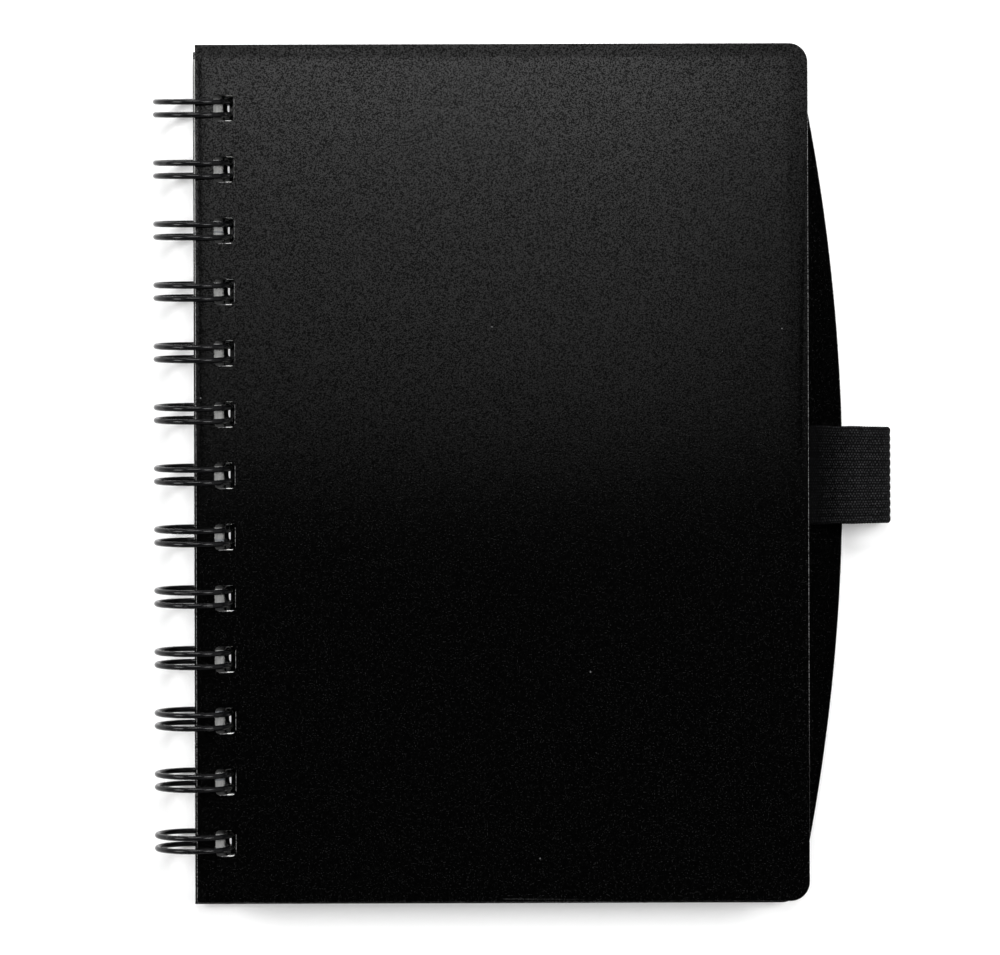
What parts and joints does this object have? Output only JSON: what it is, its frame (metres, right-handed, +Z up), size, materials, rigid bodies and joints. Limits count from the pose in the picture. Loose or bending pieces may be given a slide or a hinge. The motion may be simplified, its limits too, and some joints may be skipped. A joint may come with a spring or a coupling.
{
  "type": "pocket notebook",
  "caption": "Pocket notebook with plain plastic covers, loose punched sheets on a twin-loop wire, and an elastic pen loop on the flap of the rear cover.",
  "frame": {"origin": "on the table under the middle of the closed notebook's box", "axes": "+X from the wire to the fore-edge, +Y to the head of the page, +Z up through the front cover"},
  "size_m": [0.1534, 0.1788, 0.0165],
  "materials": {
    "cover_plastic": "fine sand-grained polypropylene, nearly black",
    "wire_enamel": "glossy black coating on steel wire",
    "woven_elastic": "ribbed woven elastic, matt black",
    "sewing_thread": "black polyester thread",
    "paper": "uncoated white writing paper with pale grey rules"
  },
  "bodies": {
    "rear_cover": {"rear_cover": "cover_plastic", "binding_wire": "wire_enamel", "pen_loop": "woven_elastic", "loop_stitching": "sewing_thread"},
    "lower_sheets": {"sheets_41_to_50": "paper", "sheets_51_to_60": "paper", "sheets_61_to_70": "paper", "sheets_71_to_80": "paper"},
    "upper_sheets": {"sheets_02_to_10": "paper", "sheets_11_to_20": "paper", "sheets_21_to_30": "paper", "sheets_31_to_40": "paper"},
    "first_sheet": {"first_sheet": "paper"},
    "front_cover": {"front_cover": "cover_plastic"}
  },
  "joints": [
    {"name": "open_in_the_middle", "type": "hinge", "parent": "rear_cover", "child": "lower_sheets", "pos_m": [-0.06845, 0, 0.00825], "axis": [0, -1, 0], "range_deg": [0, 180]},
    {"name": "turn_upper_sheets", "type": "hinge", "parent": "lower_sheets", "child": "upper_sheets", "pos_m": [-0.06845, 0, 0.00825], "axis": [0, -1, 0], "range_deg": [0, 180]},
    {"name": "turn_first_sheet", "type": "hinge", "parent": "upper_sheets", "child": "first_sheet", "pos_m": [-0.06845, 0, 0.00825], "axis": [0, -1, 0], "range_deg": [0, 180]},
    {"name": "open_front_cover", "type": "hinge", "parent": "first_sheet", "child": "front_cover", "pos_m": [-0.06845, 0, 0.00825], "axis": [0, -1, 0], "range_deg": [0, 180]}
  ]
}
